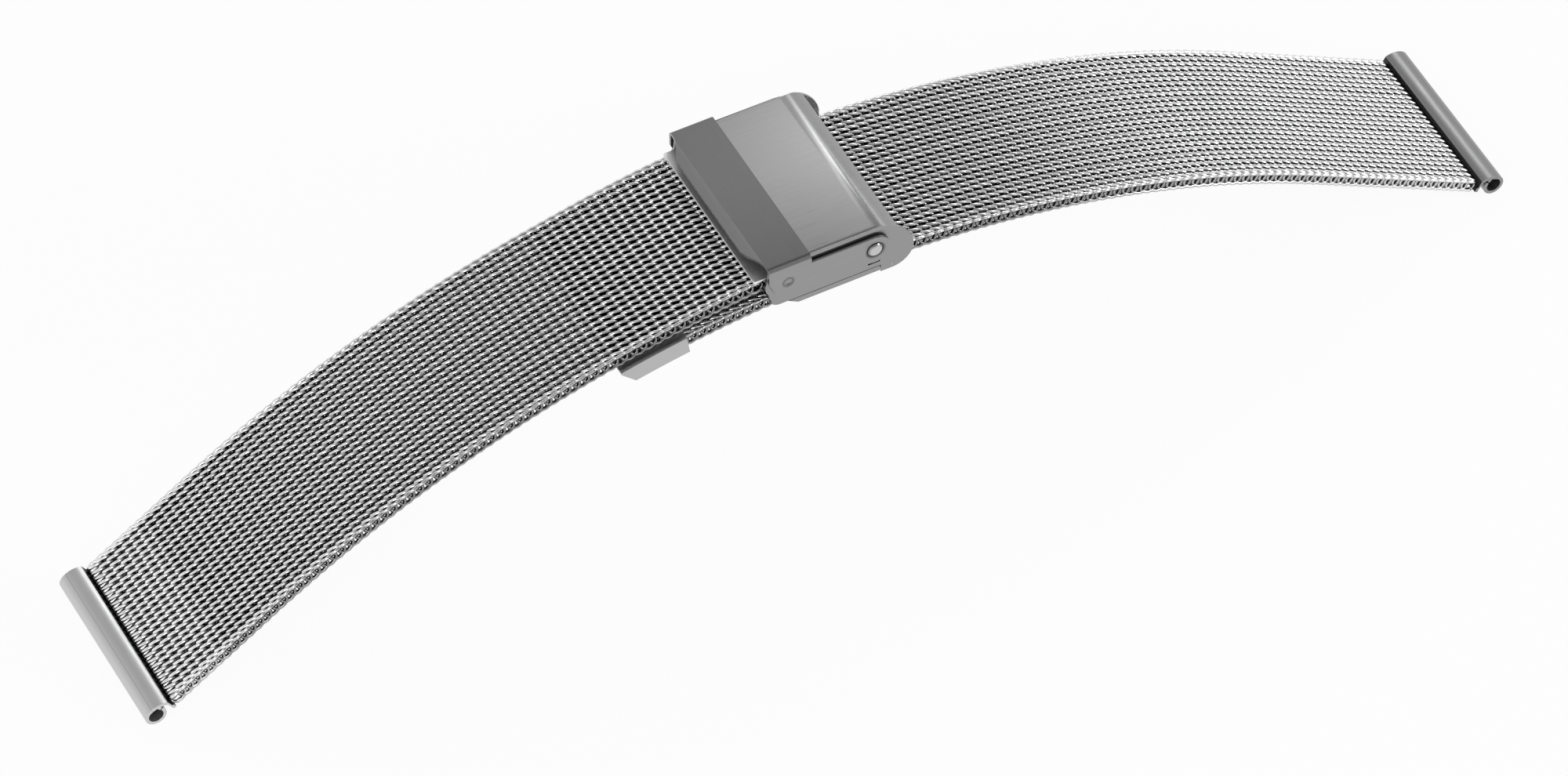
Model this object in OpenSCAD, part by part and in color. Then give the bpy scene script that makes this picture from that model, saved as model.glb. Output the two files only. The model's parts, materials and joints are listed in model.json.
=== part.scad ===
// Woven wire watch strap with a sliding hook clasp, a safety bail and tubular lug ends.
// The strap stands as an arch on its two lug tubes. +X runs along the strap to the long
// band's lug, +Y runs across it, +Z is up, and the origin is under the middle of the arch.
// All sizes are in millimetres.

/* [Mesh band] */
// How far each side edge of the mesh stays inside the tube's end
mesh_inset = 0.2; // [0:0.05:0.5]
// Thickness of the woven mesh
mesh_t = 1.5; // [1.3:0.05:1.7]
// Distance from one wire coil to the next along the strap
coil_pitch = 1.07; // [0.9:0.01:1.2]
// Depth of the hollow between two coils
coil_hollow = 0.16; // [0.05:0.01:0.25]
// Depth of the rounding of the mesh's side edges
edge_round = 0.36; // [0.2:0.02:0.5]
// Radial play of the joints between two stretches of mesh
flex_play = 0.08; // [0.05:0.01:0.1]

/* [Arch] */
// Radius of the arch that the long band follows
arch_r = 110.5; // [104:0.5:120]
// Slope of the long band's straight end in degrees
long_slope = 29.5; // [27:0.5:32]
// Length of the long band's straight end
long_straight = 22.3; // [18:0.1:30]
// Slope of the short band's straight end in degrees
short_slope = 34.5; // [32:0.5:37]
// Height of the short band's middle over the long band's, past the tail
stack_h = 2.3; // [2.25:0.05:2.6]
// Height of the short band's middle over the long band's, at the clasp
stack_h_clasp = 2.75; // [2.7:0.05:3]
// Length of the tail left of the top of the arch
tail_len = 23.4; // [21:0.2:27]

/* [Lug tubes] */
// Length of each lug tube, the lug width of the watch
lug_w = 20; // [16:0.1:24]
// Radius of the bore for the spring bar
lug_bore_r = 0.8; // [0.7:0.05:0.9]
// Thickness of the rolled lug sheet
lug_sheet = 0.36; // [0.3:0.02:0.42]
// Distance from the mesh's end to the middle of the bore
lug_reach = 2; // [1.9:0.05:2.3]
// Height of the bore's middle over the middle of the mesh
lug_lift = 0.6; // [0.4:0.05:0.8]
// Radius of the lug's broad domed top
lug_dome_r = 2; // [1.9:0.05:2.4]

/* [Clasp housing] */
// Gap between the mesh's side edge and the clasp's wall
side_gap = 0.12; // [0.1:0.01:0.3]
// Thickness of the housing's sheet
wall_t = 0.3; // [0.3:0.01:0.4]
// Height of the housing's top face over the bail's rivets
roof_z = 2.5; // [2.3:0.05:2.8]
// Reach of the housing to the left of the rivets
housing_reach = 11.6; // [11:0.1:13]
// Radius of the bend between roof and walls
roof_bend = 0.45; // [0.45:0.02:0.7]
// Radius of the broad curve in which the roof rolls down
roof_roll_r = 4.6; // [4:0.1:5]
// Reach of the roof's sheet to the right of the rivets
roof_end_x = 2.8; // [2.4:0.1:3.4]
// Radius of the walls' round left end
wall_end_r = 1.75; // [1.6:0.05:1.9]
// Radius of the nose's round front
nose_r = 2.4; // [2.35:0.05:2.6]
// Height of the rivets over the middle of the mesh
rivet_over_mesh = 2.42; // [2.35:0.02:2.6]
// Place of the rivets right of the top of the arch
rivet_x = 3; // [1:0.1:5]

/* [Bail] */
// Thickness of the bail's sheet
bail_t = 0.3; // [0.28:0.01:0.36]
// Gap between the bail's arms and the housing's walls
arm_gap = 0.22; // [0.1:0.01:0.25]
// Gap between the bail's strip and the housing's roof
strip_gap = 0.05; // [0.03:0.01:0.08]
// Width of the bail's strip along the strap
strip_len = 4.75; // [4:0.05:5.5]
// Reach of the bail past the housing's left end
bail_over = 0.3; // [-0.2:0.1:1.0]
// Reach of the thumb lip past the bail's strip
lip_len = 1.1; // [0.8:0.05:1.6]
// Drop of the thumb lip
lip_drop = 0.35; // [0.2:0.05:0.6]
// Width of the thumb lip's straight edge
lip_w = 13; // [11:0.1:14]
// Length of the curve from the lip's edge to the arm, across the strap
lip_sweep = 3.4; // [2.6:0.1:3.6]
// Radius of the arm's round end
arm_r = 1.75; // [1.5:0.05:1.9]
// Depth of the arm's left part under the rivet line
arm_drop = 1.75; // [1.6:0.05:2.2]
// Distance from the rivets to the detent dimples
dimple_x = 9.75; // [9:0.05:10.2]
// Radius of the detent dimple's rim
dimple_r = 0.6; // [0.5:0.02:0.7]
// Depth of the detent dimple
dimple_depth = 0.2; // [0.14:0.02:0.22]

/* [Rivets and bars] */
// Radius of the rivet's shank
rivet_r = 0.45; // [0.35:0.05:0.5]
// Radius of the rivet's domed head
rivet_head_r = 0.85; // [0.7:0.05:1]
// Radius of the crossbar that the hook catches
bar_r = 0.5; // [0.4:0.05:0.55]
// Place of the crossbar left of the rivets
bar_x = 8.3; // [7.8:0.1:8.6]
// Height of the crossbar over the rivets
bar_z = 0.05; // [-0.05:0.05:0.15]
// Radial play of pins and shanks
pin_play = 0.04; // [0.02:0.01:0.06]

/* [Hook plate] */
// Thickness of the hook's sheet
hook_t = 0.36; // [0.3:0.02:0.4]
// Length of the hook's leaf on the mesh
leaf_len = 1.2; // [0.8:0.1:1.6]

/* [Lock flap] */
// Thickness of the flap's sheet
flap_t = 0.4; // [0.35:0.01:0.45]
// Gap between the flap and the mesh
flap_gap = 0.12; // [0.1:0.01:0.15]
// Place of the flap's pin right of the rivets
flap_pin_x = 2.2; // [2:0.05:2.4]
// Radius of the flap's pin
flap_pin_r = 0.18; // [0.14:0.01:0.2]
// Reach of the flap to the left of the rivets
flap_reach = 8.9; // [8:0.1:9.4]
// Number of teeth that grip the mesh
tooth_count = 4; // [3:1:6]

/* [Tail clip] */
// Length of the clip on the tail's end
clip_len = 6; // [5:0.1:7]
// Thickness of the clip's sheet
clip_t = 0.3; // [0.25:0.01:0.35]
// Reach of the clip's bent tip past the mesh
clip_tip = 1.7; // [1.2:0.1:1.9]

/* [Hidden] */
$fn = 48;
small = 0.01;
ball_facets = 24;
arc_steps = 10;
half_t = mesh_t / 2;
mesh_w = lug_w - 2 * mesh_inset;
deg = 180 / PI;

// The places along the strap where one rigid stretch of mesh ends and the next begins,
// as distances from the top of the arch. The clasp slides on the first stretch.
long_cuts = [26, 37, 48, 59, 69];
short_cuts = [30, 42, 54, 66];
long_arc = arch_r * long_slope / deg;
long_len = long_arc + long_straight;

// The height of the top of the arch puts the lowest point of the long band's tube at zero
tube_r = lug_bore_r + lug_sheet;
function tube_low(slope) = lug_lift * cos(slope) - lug_reach * sin(slope) - tube_r;
apex_z = arch_r * (1 - cos(long_slope)) + long_straight * sin(long_slope) - tube_low(long_slope);
arch_c = [0, apex_z - arch_r];

// The short band starts inside the clasp and runs above the tail, which it clears. The
// length of its straight end puts its own tube on the same level as the long band's.
function ease(t) = let (c = min(max(t, 0), 1)) c * c * (3 - 2 * c);
rivet_pos = [rivet_x, apex_z + rivet_over_mesh];
bar_pos = rivet_pos + [-bar_x, bar_z];
short_start = housing_reach - rivet_x;
stack_end = tail_len + 1.5;
function stack(s) =
    stack_h_clasp + (stack_h - stack_h_clasp) * ease((s - short_start) / (stack_end - short_start));
short_arc = arch_r * short_slope / deg;
short_arc_r = arch_r + stack_h;
short_arc_end_z = arch_c[1] + short_arc_r * cos(short_slope);
short_straight = (short_arc_end_z + tube_low(short_slope)) / sin(short_slope);
short_len = short_arc + short_straight;

// A point of a band at distance s from the top of the arch and w above its middle, as
// [x, z], with side 1 for the long band and -1 for the short one
function polar(r, a) = [r * cos(a), r * sin(a)];
function arc(c, r, a0, a1, n = arc_steps) = [for (i = [0:n]) c + polar(r, a0 + (a1 - a0) * i / n)];
function band_slope(s, side) = min(s * deg / arch_r, side > 0 ? long_slope : short_slope);
function band_r(s, side) = side > 0 ? arch_r : arch_r + stack(s);
function band_past(s, side) = side > 0 ? max(s - long_arc, 0) : max(s - short_arc, 0);
function band_pt(s, w, side) =
    let (a = band_slope(s, side), r = band_r(s, side) + w, d = band_past(s, side))
    arch_c + [side * (r * sin(a) + d * cos(a)), r * cos(a) - d * sin(a)];

// The outline of a stretch of mesh: one low ridge for each coil, above and below
ridge = [[0, 1], [0.3, 0], [0.7, 0]];
plain = [[0, 0]];
function ridge_row(n0, n1, w, side, hollow) =
    [for (n = [n0:n1 - 1], p = hollow > 0 ? ridge : plain)
        band_pt((n + p[0]) * coil_pitch, w - sign(w) * hollow * p[1], side)];
function flip(list) = [for (i = [len(list) - 1:-1:0]) list[i]];
function mesh_outline(s0, s1, w, side, hollow) =
    let (n0 = ceil(s0 / coil_pitch), n1 = floor(s1 / coil_pitch))
    concat([band_pt(s0, w - hollow, side)], ridge_row(n0, n1, w, side, hollow),
        [band_pt(s1, w - hollow, side), band_pt(s1, hollow - w, side)],
        flip(ridge_row(n0, n1, -w, side, hollow)), [band_pt(s0, hollow - w, side)]);

module across(w) rotate([90, 0, 0]) linear_extrude(w, center = true) children();
module pin_along_y(p, r, w)
    translate([p[0], 0, p[1]]) rotate([90, 0, 0]) cylinder(h = w, r = r, center = true);

// A stretch of mesh. Its inner end is hollow round the joint before it, and its outer
// end is a round knuckle in the joint after it. The side edges are thinner, as the wire
// loops turn round there.
module mesh_stretch(s0, s1, side, hollow_in = true, round_out = true) {
    color("silver") difference() {
        union() {
            across(mesh_w - 2 * edge_round) polygon(mesh_outline(s0, s1, half_t, side, coil_hollow));
            across(mesh_w) polygon(mesh_outline(s0, s1, half_t - edge_round, side, 0));
            if (round_out) {
                pin_along_y(band_pt(s1, 0, side), half_t, mesh_w - 2 * edge_round);
                pin_along_y(band_pt(s1, 0, side), half_t - edge_round, mesh_w);
            }
        }
        if (hollow_in) pin_along_y(band_pt(s0, 0, side), half_t + flex_play, mesh_w + 1);
    }
}

// The lug's sheet stands against the end of the mesh, rises in a broad dome and rolls back
// under it into a tube. Its bore has a pinched corner, as the sheet's edge meets the dome
// there, and a seam. The frame's origin is the end of the mesh.
tube_c = [lug_reach, lug_lift];
dome_turn = 75;
dome_c = tube_c + polar(tube_r - lug_dome_r, dome_turn);
dome_start = acos(-dome_c[0] / lug_dome_r);
dome_in_r = lug_dome_r - lug_sheet;
dome_in_start = acos((lug_sheet - dome_c[0]) / dome_in_r);
leg_low = -0.6 * half_t;
pinch_turn = 132;
pinch_half = 36;
seam_turn = 164;
seam_half = 4;
groove_w = 0.16;
groove_low = 0.1 * half_t;
module lug_profile() {
    difference() {
        union() {
            translate(tube_c) circle(r = tube_r);
            polygon(concat(arc(dome_c, lug_dome_r, dome_turn, dome_start),
                [[0, leg_low], [lug_sheet, leg_low]], arc(dome_c, dome_in_r, dome_in_start, dome_turn)));
        }
        translate(tube_c) circle(r = lug_bore_r);
        polygon([tube_c, tube_c + polar(lug_bore_r, pinch_turn - pinch_half),
            tube_c + polar(lug_bore_r / cos(pinch_half), pinch_turn),
            tube_c + polar(lug_bore_r, pinch_turn + pinch_half)]);
        polygon([tube_c, tube_c + polar(tube_r + small, seam_turn - seam_half),
            tube_c + polar(tube_r + small, seam_turn + seam_half)]);
        // the dark groove beside the mesh
        translate([-groove_w, groove_low]) square([2 * groove_w, mesh_t]);
    }
}
module lug_tube(side) {
    end = band_pt(side > 0 ? long_len : short_len, 0, side);
    slope = side > 0 ? long_slope : short_slope;
    color("lightgrey") translate([end[0], 0, end[1]]) mirror([side > 0 ? 0 : 1, 0, 0]) rotate([0, slope, 0])
        across(lug_w) lug_profile();
}

// The clasp is drawn in a frame whose origin is the rivet axis
module at_rivet() translate([rivet_pos[0], 0, rivet_pos[1]]) children();

wall_in = mesh_w / 2 + side_gap;
wall_out = wall_in + wall_t;
arm_in = wall_out + arm_gap;
arm_out = arm_in + bail_t;
nose_c = [2.2, -1.7];
mesh_mid = -rivet_over_mesh;
flap_top = mesh_mid - half_t - 0.16 - flap_gap;
flap_pin_z = flap_top - flap_t / 2 - 0.1;
wall_low = flap_top + 0.35;
knuckle_r = flap_pin_r + 0.17;
roof_in = roof_z - wall_t;

dent_depth = 0.08;

// The roof rolls down in one broad curve, which runs into the walls' round nose
roll_z = roof_z - roof_roll_r;
roll_c = [nose_c[0] - sqrt(pow(roof_roll_r - nose_r, 2) - pow(roll_z - nose_c[1], 2)), roll_z];
roll_end = atan2(nose_c[1] - roll_z, nose_c[0] - roll_c[0]);
roof_end = acos((roof_end_x - roll_c[0]) / roof_roll_r);
wall_end_c = [wall_end_r - housing_reach - 0.45, -0.1];
nose_foot = 0.9;
heel_r = 1.2;
housing_side = concat([[-housing_reach, roof_z]], arc(roll_c, roof_roll_r, 90, roll_end),
    arc(nose_c, nose_r, roll_end, -90, 16), [[nose_foot, nose_c[1] - nose_r], [nose_foot, wall_low]],
    arc([heel_r - housing_reach, wall_low + heel_r], heel_r, 270, 225, 3),
    arc(wall_end_c, wall_end_r, 215, 145, 7));
// The roof's sheet stops on the roll, above the mesh
far = 20;
roof_void = concat([[-far, roof_in]], arc(roll_c, roof_roll_r - wall_t, 90, roof_end),
    [roll_c + polar(far / 2, roof_end), [far, -far], [-far, -far]]);

// The cross-section of the housing has its top corners bent round
bend_steps = 5;
function bent(half, top, r) = concat([[-half, -far]], arc([r - half, top - r], r, 180, 90, bend_steps),
    arc([half - r, top - r], r, 90, 0, bend_steps), [[half, -far]]);
module along_strap() translate([-far, 0, 0]) rotate([90, 0, 90]) linear_extrude(2 * far) children();

// A narrow window in each wall, with a short leg
window_at = [0.8, -2.52];
window_len = 1.35;
window_h = 0.3;
leg_w = 0.28;
leg_h = 0.52;
window = [window_at - [window_len, 0], window_at, window_at + [0, leg_h], window_at + [-leg_w, leg_h],
    window_at + [-leg_w, window_h], window_at + [-window_len, window_h]];

// The dimple is the cap of a ball pressed into the sheet
ball_r = (dimple_r * dimple_r + dimple_depth * dimple_depth) / (2 * dimple_depth);
dimple_up = 0.3;

module at_dimple(y) translate([-dimple_x, y, dimple_up]) children();
module ball() sphere(r = ball_r, $fn = ball_facets);

module clasp_housing() {
    color("gainsboro") at_rivet() difference() {
        intersection() {
            across(2 * wall_out) polygon(housing_side);
            along_strap() polygon(bent(wall_out, roof_z, roof_bend));
        }
        intersection() {
            across(2 * wall_in) polygon(roof_void);
            along_strap() polygon(bent(wall_in, roof_in, roof_bend - wall_t));
        }
        // seats of the rivets, the crossbar and the flap's pin
        pin_along_y([0, 0], rivet_r + pin_play, 4 * wall_out);
        pin_along_y([-bar_x, bar_z], bar_r + pin_play / 2, 4 * wall_out);
        pin_along_y([flap_pin_x, flap_pin_z], flap_pin_r + pin_play / 2, 4 * wall_out);
        // dents where the bail's dimples rest
        for (y = [-1, 1]) at_dimple(y * (wall_out + ball_r - dent_depth)) ball();
        across(4 * wall_out) polygon(window);
    }
}

// A plate between the walls holds the mesh down on the flap. Its sides turn up and are
// welded to the walls.
plate_z = mesh_mid + half_t + 0.12;
plate_t = 0.32;
plate_right = 1.6;
plate_left = housing_reach - 0.7;
flange_h = 0.7;
flange_left = plate_left - 2.6;
flange_right = plate_right - 0.4;
slot_r = 0.6;
slot_len = 12;
slot_x = [-7.6, -3.4];
module pressure_plate() {
    color("darkgrey") at_rivet() difference() {
        union() {
            translate([-plate_left, -wall_in, plate_z])
                cube([plate_left + plate_right, 2 * wall_in, plate_t]);
            for (y = [-wall_in, wall_in - plate_t]) translate([-flange_left, y, plate_z])
                cube([flange_left + flange_right, plate_t, flange_h]);
        }
        // two stamped slots lighten the plate
        for (x = slot_x) translate([x, 0, plate_z - plate_t]) linear_extrude(3 * plate_t) hull()
            for (y = [-1, 1]) translate([0, y * slot_len / 2]) circle(r = slot_r, $fn = ball_facets);
    }
}

pin_len = 2 * wall_out - 0.04;
module crossbar() color("silver") at_rivet() pin_along_y([-bar_x, bar_z], bar_r, pin_len);

module flap_pin() color("silver") at_rivet() pin_along_y([flap_pin_x, flap_pin_z], flap_pin_r, pin_len);

// The flap closes the clasp's underside and grips the mesh with a row of teeth
flap_low = flap_top - flap_t;
flap_w = 2 * wall_in - 0.1;
flap_side_top = wall_low - 0.08;
flap_side_right = 0.8;
flap_slant = 0.55;
tooth_w = mesh_w - 3;
tooth_step = 0.62;
tooth = [[0, -small], [0.5, -small], [0.4, 0.12], [0.3, 0.12]];
notch_w = 4.4;
module lock_flap() {
    color("grey") at_rivet() difference() {
        union() {
            across(flap_w) polygon([[-flap_reach, flap_top], [flap_pin_x, flap_top], [flap_pin_x, flap_low],
                [flap_slant - flap_reach, flap_low]]);
            pin_along_y([flap_pin_x, flap_pin_z], knuckle_r, flap_w);
            for (y = [-1, 1]) {
                // sides under the walls, with a slanted left end, and the sheet that joins them to the flap
                translate([0, y * (wall_in + wall_out) / 2, 0]) across(wall_t)
                    polygon([[-flap_slant - flap_reach, flap_side_top], [flap_side_right, flap_side_top],
                        [flap_side_right, flap_low], [flap_slant - flap_reach, flap_low]]);
                translate([0, y * wall_in, 0]) across(wall_t)
                    polygon([[flap_slant - flap_reach, flap_low], [flap_side_right, flap_low],
                        [flap_side_right, flap_top], [flap_slant - flap_reach, flap_top]]);
            }
            for (i = [0:tooth_count - 1]) translate([1.4 - flap_reach + i * tooth_step, 0, flap_top])
                across(tooth_w) polygon(tooth);
        }
        pin_along_y([flap_pin_x, flap_pin_z], flap_pin_r + pin_play, 4 * wall_out);
        // notch for the tip of a tool that opens the flap
        translate([-flap_reach - flap_slant, 0, flap_low])
            cube([4 * flap_slant, notch_w, 4 * flap_t], center = true);
    }
}

// The safety bail: a strip over the roof with a thumb lip, and two arms on the rivets
strip_low = roof_z + strip_gap;
strip_top = strip_low + bail_t;
bail_bend = 0.55;
bail_reach = housing_reach + bail_over;
bail_right = -bail_reach + strip_len;
arm_side = concat([[-bail_reach, strip_top], [bail_right, strip_top], [bail_right, strip_top - 1.05]],
    arc([0, 0], arm_r, 90, -100), [[-2.6, -1.34], [-6.2, -1.2], [-7.2, -1.35], [-8.2, -arm_drop + 0.04]],
    arc([-dimple_x, -arm_drop + 1.6], 1.6, 270, 190, 8), [[-bail_reach + 0.02, 0.9]]);
lip_root = 0.05 - bail_reach;
lip_side = [[lip_root, strip_top], [-bail_reach - lip_len * 0.35, strip_top - lip_drop * 0.22],
    [-bail_reach - lip_len, strip_top - lip_drop], [-bail_reach - lip_len, strip_top - lip_drop - bail_t],
    [-bail_reach - lip_len * 0.4, strip_low - lip_drop * 0.3], [lip_root, strip_low]];
// Seen from above, the lip's edge sweeps back to the arms in an S-curve at both ends
sweep_steps = 8;
lip_edge = [for (i = [0:sweep_steps], t = [i / sweep_steps])
    [-bail_reach - lip_len * ease(t), lip_sweep * (1 - t)]];
function lip_half(side) = concat([[lip_root, side * (lip_w / 2 + lip_sweep)]],
    [for (p = lip_edge) [p[0], side * (lip_w / 2 + p[1])]]);
lip_plan = concat(lip_half(1), flip(lip_half(-1)));
boss_gap = 0.03;
boss_r = arm_r - 0.55;
dish_depth = 0.1;
dish_r = rivet_head_r + 0.3;

module bail() {
    color("dimgrey") at_rivet() difference() {
        union() {
            difference() {
                intersection() {
                    across(2 * arm_out) polygon(arm_side);
                    along_strap() polygon(bent(arm_out, strip_top, bail_bend));
                }
                along_strap() polygon(bent(arm_in, strip_low, bail_bend - bail_t));
            }
            intersection() {
                across(2 * arm_in) polygon(lip_side);
                translate([0, 0, -far]) linear_extrude(2 * far) polygon(lip_plan);
            }
            // bosses and dimples come up to the walls
            for (y = [-1, 1]) {
                translate([0, y * (wall_out + boss_gap + arm_gap / 2), 0]) rotate([90, 0, 0])
                    cylinder(h = arm_gap, r = boss_r, center = true);
                intersection() {
                    at_dimple(y * (wall_out + boss_gap + ball_r)) ball();
                    at_dimple(y * arm_in) cube([2 * dimple_r, 2 * arm_gap, 2 * dimple_r], center = true);
                }
            }
        }
        for (y = [-1, 1]) {
            // the hollow of the pressed dimple and the dish round the rivet
            at_dimple(y * (arm_out + ball_r - dimple_depth)) ball();
            translate([0, y * (arm_out + small), 0]) rotate([y * 90, 0, 0])
                cylinder(h = dish_depth + small, r1 = dish_r, r2 = rivet_head_r + 0.05);
        }
        pin_along_y([0, 0], rivet_r + pin_play, 4 * arm_out);
    }
}

// Each rivet has a shank through wall and arm, a domed head outside and a flange inside
head_h = 0.38;
dome_r = (rivet_head_r * rivet_head_r + head_h * head_h) / (2 * head_h);
head_at = arm_out - dish_depth + 0.03;
rivet_flange = 0.25;
rivet_start = wall_in - 0.3;
module bail_rivet(side) {
    color("whitesmoke") at_rivet() rotate([side > 0 ? -90 : 90, 0, 0]) {
        translate([0, 0, rivet_start]) cylinder(h = head_at - rivet_start + small, r = rivet_r);
        translate([0, 0, rivet_start]) cylinder(h = rivet_flange, r = rivet_r + 0.3);
        intersection() {
            translate([0, 0, head_at + head_h - dome_r]) sphere(r = dome_r, $fn = ball_facets);
            translate([0, 0, head_at]) cylinder(h = head_h, r = rivet_head_r, $fn = ball_facets);
        }
    }
}
module bail_rivet_near() bail_rivet(-1);
module bail_rivet_far() bail_rivet(1);

// The short band's hook plate lies on the mesh and curls over the crossbar
hook_in = bar_r + pin_play + 0.04;
hook_turn = 100;
hook_tip = -30;
short_end = band_pt(short_start, half_t, -1);
leaf_gap = 0.05;
leaf_end = band_pt(short_start + leaf_len, half_t + leaf_gap, -1);
leaf_end_up = band_pt(short_start + leaf_len, half_t + leaf_gap + hook_t, -1);
hook_outline = concat([leaf_end_up], arc(bar_pos, hook_in + hook_t, hook_turn, hook_tip),
    arc(bar_pos, hook_in, hook_tip, hook_turn), [short_end + [0.25, leaf_gap]], [leaf_end]);
clipped = 1;
module hook_plate() {
    color("white") difference() {
        across(mesh_w) polygon(hook_outline);
        // clipped corners show beside the bail's lip
        for (y = [-1, 1]) translate([leaf_end[0] - 0.6, y * mesh_w / 2, leaf_end[1]]) rotate([0, 0, 45])
            cube([clipped, clipped, 4 * hook_t], center = true);
    }
}

// The clip is folded round the tail's end. Its tip bends up and stops the clasp.
clip_wall = half_t + 0.05;
clip_out_w = clip_wall + clip_t;
clip_w = mesh_w + 0.9;
clip_room_w = mesh_w + 0.16;
clip_start = tail_len - clip_len + 0.3;
clip_fold = tail_len + 0.2;
clip_stop = tail_len + clip_tip;
clip_floor = tail_len + 0.06;
function tail_pt(s, w) = arch_c + (arch_r + w) * [-sin(s * deg / arch_r), cos(s * deg / arch_r)];
clip_steps = 6;
function clip_row(w, s0, s1) = [for (i = [0:clip_steps]) tail_pt(s0 + (s1 - s0) * i / clip_steps, w)];
clip_shape = concat(clip_row(clip_out_w, clip_start, clip_fold),
    [tail_pt(clip_stop, clip_out_w), tail_pt(clip_stop, clip_wall), tail_pt(clip_fold + clip_t, -clip_out_w)],
    clip_row(-clip_out_w, clip_fold, clip_start));
clip_hollow = concat(clip_row(clip_wall, clip_start - 1, clip_floor),
    clip_row(-clip_wall, clip_floor, clip_start - 1));
clip_room = [tail_pt(clip_floor + clip_t, clip_wall), tail_pt(tail_len + clip_tip * 0.7, clip_wall),
    tail_pt(clip_floor + clip_t, -half_t)];
module tail_clip() {
    color("lightgrey") difference() {
        across(clip_w) polygon(clip_shape);
        across(clip_room_w) polygon(clip_hollow);
        across(clip_w - 2 * clip_t) polygon(clip_room);
    }
}

// The first stretch of the long band runs through the clasp to the tail
core_n0 = -floor(tail_len / coil_pitch);
core_n1 = floor(long_cuts[0] / coil_pitch);
function core_row(w, hollow) = [for (n = [core_n0:core_n1 - 1], p = hollow > 0 ? ridge : plain)
    tail_pt(-(n + p[0]) * coil_pitch, w - sign(w) * hollow * p[1])];
function core_edge(w, hollow) = let (low = w - sign(w) * hollow)
    concat([tail_pt(tail_len, low)], core_row(w, hollow), [tail_pt(-long_cuts[0], low)]);
module core_layer(w, half, hollow) {
    across(w) polygon(concat(core_edge(half, hollow), flip(core_edge(-half, hollow))));
    pin_along_y(band_pt(long_cuts[0], 0, 1), half, w);
}
module long_core() {
    color("silver") {
        core_layer(mesh_w - 2 * edge_round, half_t, coil_hollow);
        core_layer(mesh_w, half_t - edge_round, 0);
    }
}

long_ends = concat(long_cuts, [long_len]);
short_ends = concat([short_start], short_cuts, [short_len]);
module long_mesh(i) mesh_stretch(long_ends[i - 1], long_ends[i], 1, true, i < len(long_cuts));
module short_mesh(i) mesh_stretch(short_ends[i - 1], short_ends[i], -1, i > 1, i <= len(short_cuts));

// The whole strap is moved so that the origin is under the middle of its length
function turned(p, side, slope) =
    [side * (p[0] * cos(slope) + p[1] * sin(slope)), p[1] * cos(slope) - p[0] * sin(slope)];
long_tube = band_pt(long_len, 0, 1) + turned(tube_c, 1, long_slope);
short_tube = band_pt(short_len, 0, -1) + turned(tube_c, -1, short_slope);
middle_x = (long_tube[0] + short_tube[0]) / 2;
shift = [middle_x, 0];
echo(middle_x = middle_x, apex_z = apex_z, arch_c = arch_c, rivet = rivet_pos, bar = bar_pos,
    short_len = short_len, long_len = long_len, half = long_tube[0] + tube_r - middle_x,
    long_cut_pts = [for (s = long_cuts) band_pt(s, 0, 1) - shift],
    short_cut_pts = [for (s = short_cuts) band_pt(s, 0, -1) - shift],
    flap = rivet_pos + [flap_pin_x, flap_pin_z] - shift,
    long_tube = long_tube - shift, short_tube = short_tube - shift);

module centred() translate([-middle_x, 0, 0]) children();

centred() long_core();
centred() long_mesh(1);  // long_mesh_1
centred() long_mesh(2);  // long_mesh_2
centred() long_mesh(3);  // long_mesh_3
centred() long_mesh(4);  // long_mesh_4
centred() long_mesh(5);  // long_mesh_5
centred() short_mesh(1);  // short_mesh_1
centred() short_mesh(2);  // short_mesh_2
centred() short_mesh(3);  // short_mesh_3
centred() short_mesh(4);  // short_mesh_4
centred() short_mesh(5);  // short_mesh_5
centred() lug_tube(1);  // lug_tube_long
centred() lug_tube(-1);  // lug_tube_short
centred() tail_clip();
centred() hook_plate();
centred() clasp_housing();
centred() pressure_plate();
centred() crossbar();
centred() lock_flap();
centred() flap_pin();
centred() bail();
centred() bail_rivet_near();
centred() bail_rivet_far();
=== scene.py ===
# %% [markdown]
# # A woven wire watch strap
# The strap is two bands of interlocked wire coils, held together by a sliding clasp. This
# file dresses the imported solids: it weaves the wire, softens the sheet metal's edges, and
# gives each metal its finish. The solids give every place, so the first step loads them.

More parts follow.
